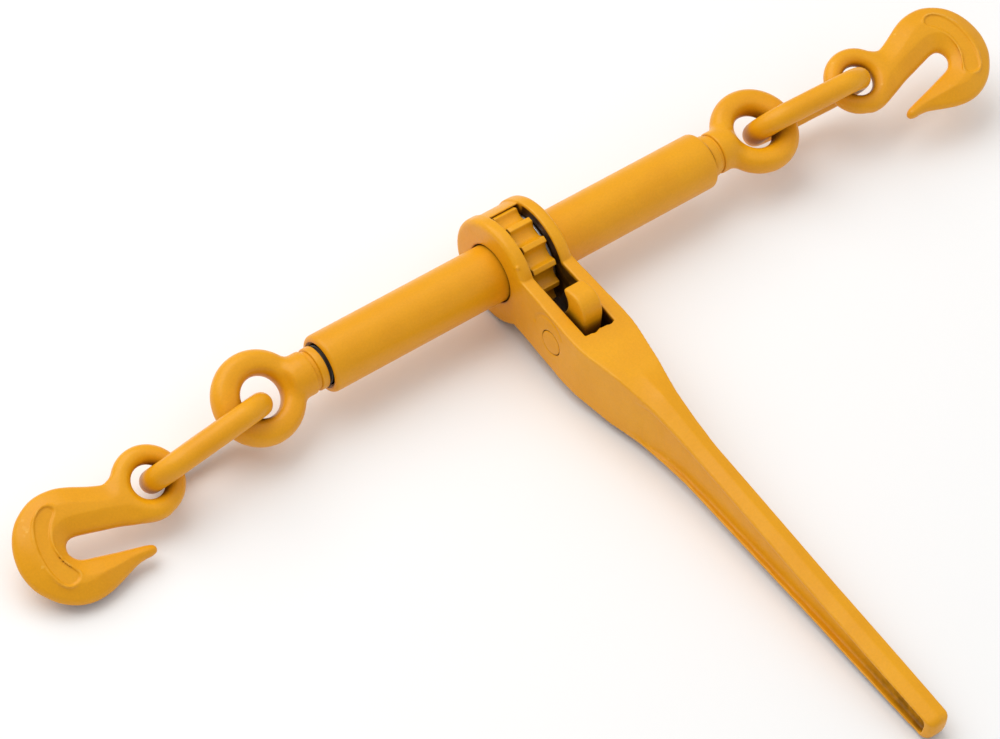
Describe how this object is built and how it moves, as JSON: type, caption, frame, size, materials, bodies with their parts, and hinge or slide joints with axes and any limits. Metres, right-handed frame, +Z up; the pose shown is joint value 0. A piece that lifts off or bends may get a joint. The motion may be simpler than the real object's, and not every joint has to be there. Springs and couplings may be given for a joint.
{
  "type": "ratchet load binder",
  "caption": "Ratchet load binder for tightening tie-down chain: lever handle, threaded barrel with a two-way pawl and wheel, eye bolts, connecting links and eye grab hooks.",
  "frame": {"origin": "centre of the bounding box on the floor the binder lies on", "axes": "+X along the barrel from the left hook to the right hook, +Y from the handle's grip towards the barrel, +Z up"},
  "size_m": [0.6328, 0.371, 0.0613],
  "materials": {
    "painted_yellow": "semi-gloss orange-yellow enamel over forged steel",
    "bare_steel": "turned, oiled",
    "spring_steel": "drawn wire, dark"
  },
  "bodies": {
    "barrel": {"barrel": "painted_yellow", "ratchet_gear": "painted_yellow", "gear_pins": "bare_steel"},
    "carrier": {"left_thrust_washer": "bare_steel", "right_thrust_washer": "bare_steel"},
    "handle": {"handle": "painted_yellow", "pawl_pin": "painted_yellow", "pawl_spring": "spring_steel"},
    "pawl": {"pawl": "painted_yellow"},
    "plunger": {"pawl_plunger": "bare_steel"},
    "left_eye": {"left_eye_bolt": "painted_yellow", "left_stop_pin": "bare_steel"},
    "right_eye": {"right_eye_bolt": "painted_yellow", "right_stop_pin": "bare_steel"},
    "left_link": {"left_link": "painted_yellow"},
    "right_link": {"right_link": "painted_yellow"},
    "left_hook": {"left_hook": "painted_yellow"},
    "right_hook": {"right_hook": "painted_yellow"}
  },
  "joints": [
    {"name": "barrel_turn", "type": "hinge", "parent": "barrel", "child": "carrier", "pos_m": [0.00176, 0.15498, 0.03085], "axis": [1, 0, 0], "range_deg": [0, 7200]},
    {"name": "left_travel", "type": "slide", "parent": "carrier", "child": "left_eye", "axis": [-1, 0, 0], "range_m": [0, 0.1]},
    {"name": "right_travel", "type": "slide", "parent": "carrier", "child": "right_eye", "axis": [1, 0, 0], "range_m": [0, 0.1]},
    {"name": "handle_swing", "type": "hinge", "parent": "barrel", "child": "handle", "pos_m": [0.00176, 0.15498, 0.03085], "axis": [1, 0, 0], "range_deg": [-166.15, 27.69]},
    {"name": "pawl_rock", "type": "hinge", "parent": "handle", "child": "pawl", "pos_m": [0.00176, 0.10209, 0.02733], "axis": [1, 0, 0], "range_deg": [-54, 9.5]},
    {"name": "plunger_slide", "type": "slide", "parent": "handle", "child": "plunger", "axis": [0, -0.9978, -0.0663], "range_m": [0, 0.002], "stiffness_N_per_m": 800, "springref_m": -0.002, "deforming": ["pawl_spring"]},
    {"name": "left_link_swing", "type": "hinge", "parent": "left_eye", "child": "left_link", "pos_m": [-0.17934, 0.15068, 0.02829], "axis": [-0.1134, 0.8534, 0.5088], "range_deg": [-60, 60]},
    {"name": "left_hook_swing", "type": "hinge", "parent": "left_link", "child": "left_hook", "pos_m": [-0.23117, 0.14736, 0.02205], "axis": [-0.0534, -0.5166, 0.8546], "range_deg": [-70, 70]},
    {"name": "right_link_swing", "type": "hinge", "parent": "right_eye", "child": "right_link", "pos_m": [0.18346, 0.15318, 0.03034], "axis": [-0.0293, -0.8759, -0.4815], "range_deg": [-60, 60]},
    {"name": "right_hook_swing", "type": "hinge", "parent": "right_link", "child": "right_hook", "pos_m": [0.2337, 0.14865, 0.03609], "axis": [-0.1197, -0.4752, 0.8717], "range_deg": [-70, 70]}
  ],
  "couplings": [
    {"joint": "left_travel", "follows": "barrel_turn", "m_per_rad": 0.00079577},
    {"joint": "right_travel", "follows": "barrel_turn", "m_per_rad": 0.00079577}
  ]
}
